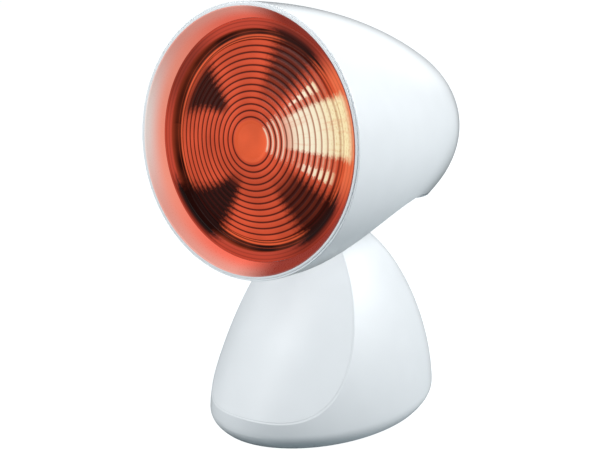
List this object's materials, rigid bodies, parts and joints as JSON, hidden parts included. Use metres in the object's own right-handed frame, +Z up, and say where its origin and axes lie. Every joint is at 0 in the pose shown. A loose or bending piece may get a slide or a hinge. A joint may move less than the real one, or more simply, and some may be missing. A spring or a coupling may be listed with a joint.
{
  "type": "infrared heat therapy lamp",
  "caption": "Table-top infrared heat lamp: an egg-shaped head with a ridged red reflector lamp, tilting on a domed base with a rocker switch at the back.",
  "frame": {"origin": "on the floor, under the middle of the lamp's box", "axes": "+Z up, front of the lamp towards -Y, +X to the right seen from behind the front face looking along +Y"},
  "size_m": [0.1392, 0.1726, 0.2311],
  "materials": {
    "white_plastic": "glossy white",
    "grey_plastic": "matte grey",
    "natural_plastic": "matte",
    "black_plastic": "satin black",
    "foot_rubber": "matte",
    "bushing_rubber": "matte",
    "steel": "bright",
    "zinc_steel": "zinc plated sheet",
    "aluminium": "spun sheet",
    "brass": "bright",
    "tungsten": "drawn wire",
    "porcelain": "glazed",
    "red_glass": "ridged red filter glass",
    "black_glass": "black glass",
    "silvered_glass": "silvered inside"
  },
  "bodies": {
    "base": {"base_body": "white_plastic", "front_cover": "white_plastic", "base_plate": "grey_plastic", "foot_front_right": "foot_rubber", "foot_front_left": "foot_rubber", "foot_rear_right": "foot_rubber", "foot_rear_left": "foot_rubber", "base_screws": "steel", "terminal_block": "natural_plastic", "terminal_screws": "steel", "cable_bushing": "bushing_rubber", "pivot_post": "white_plastic", "post_screws": "steel", "switch_housing": "black_plastic", "switch_terminals": "brass"},
    "head": {"head_housing": "white_plastic", "front_ring": "white_plastic", "bulb_lens": "red_glass", "bulb_reflector": "silvered_glass", "bulb_filament": "tungsten", "filament_posts": "steel", "bulb_cap": "aluminium", "bulb_insulator": "black_glass", "bulb_contact": "brass", "lampholder": "porcelain", "holder_sleeve": "brass", "holder_contact": "brass", "holder_screws": "steel", "heat_shield": "aluminium", "underside_cover": "white_plastic", "tilt_yoke": "zinc_steel", "yoke_screws": "steel", "tilt_bolt": "steel", "bolt_nut": "steel", "outer_washers": "steel", "friction_washers": "grey_plastic"},
    "rocker": {"switch_rocker": "black_plastic"}
  },
  "joints": [
    {"name": "head_tilt", "type": "hinge", "parent": "base", "child": "head", "pos_m": [0, -0.00749, 0.107], "axis": [1, 0, 0], "range_deg": [-20, 20]},
    {"name": "switch_rocker", "type": "hinge", "parent": "base", "child": "rocker", "pos_m": [0, 0.05141, 0.03334], "axis": [1, 0, 0], "range_deg": [0, 14]}
  ]
}
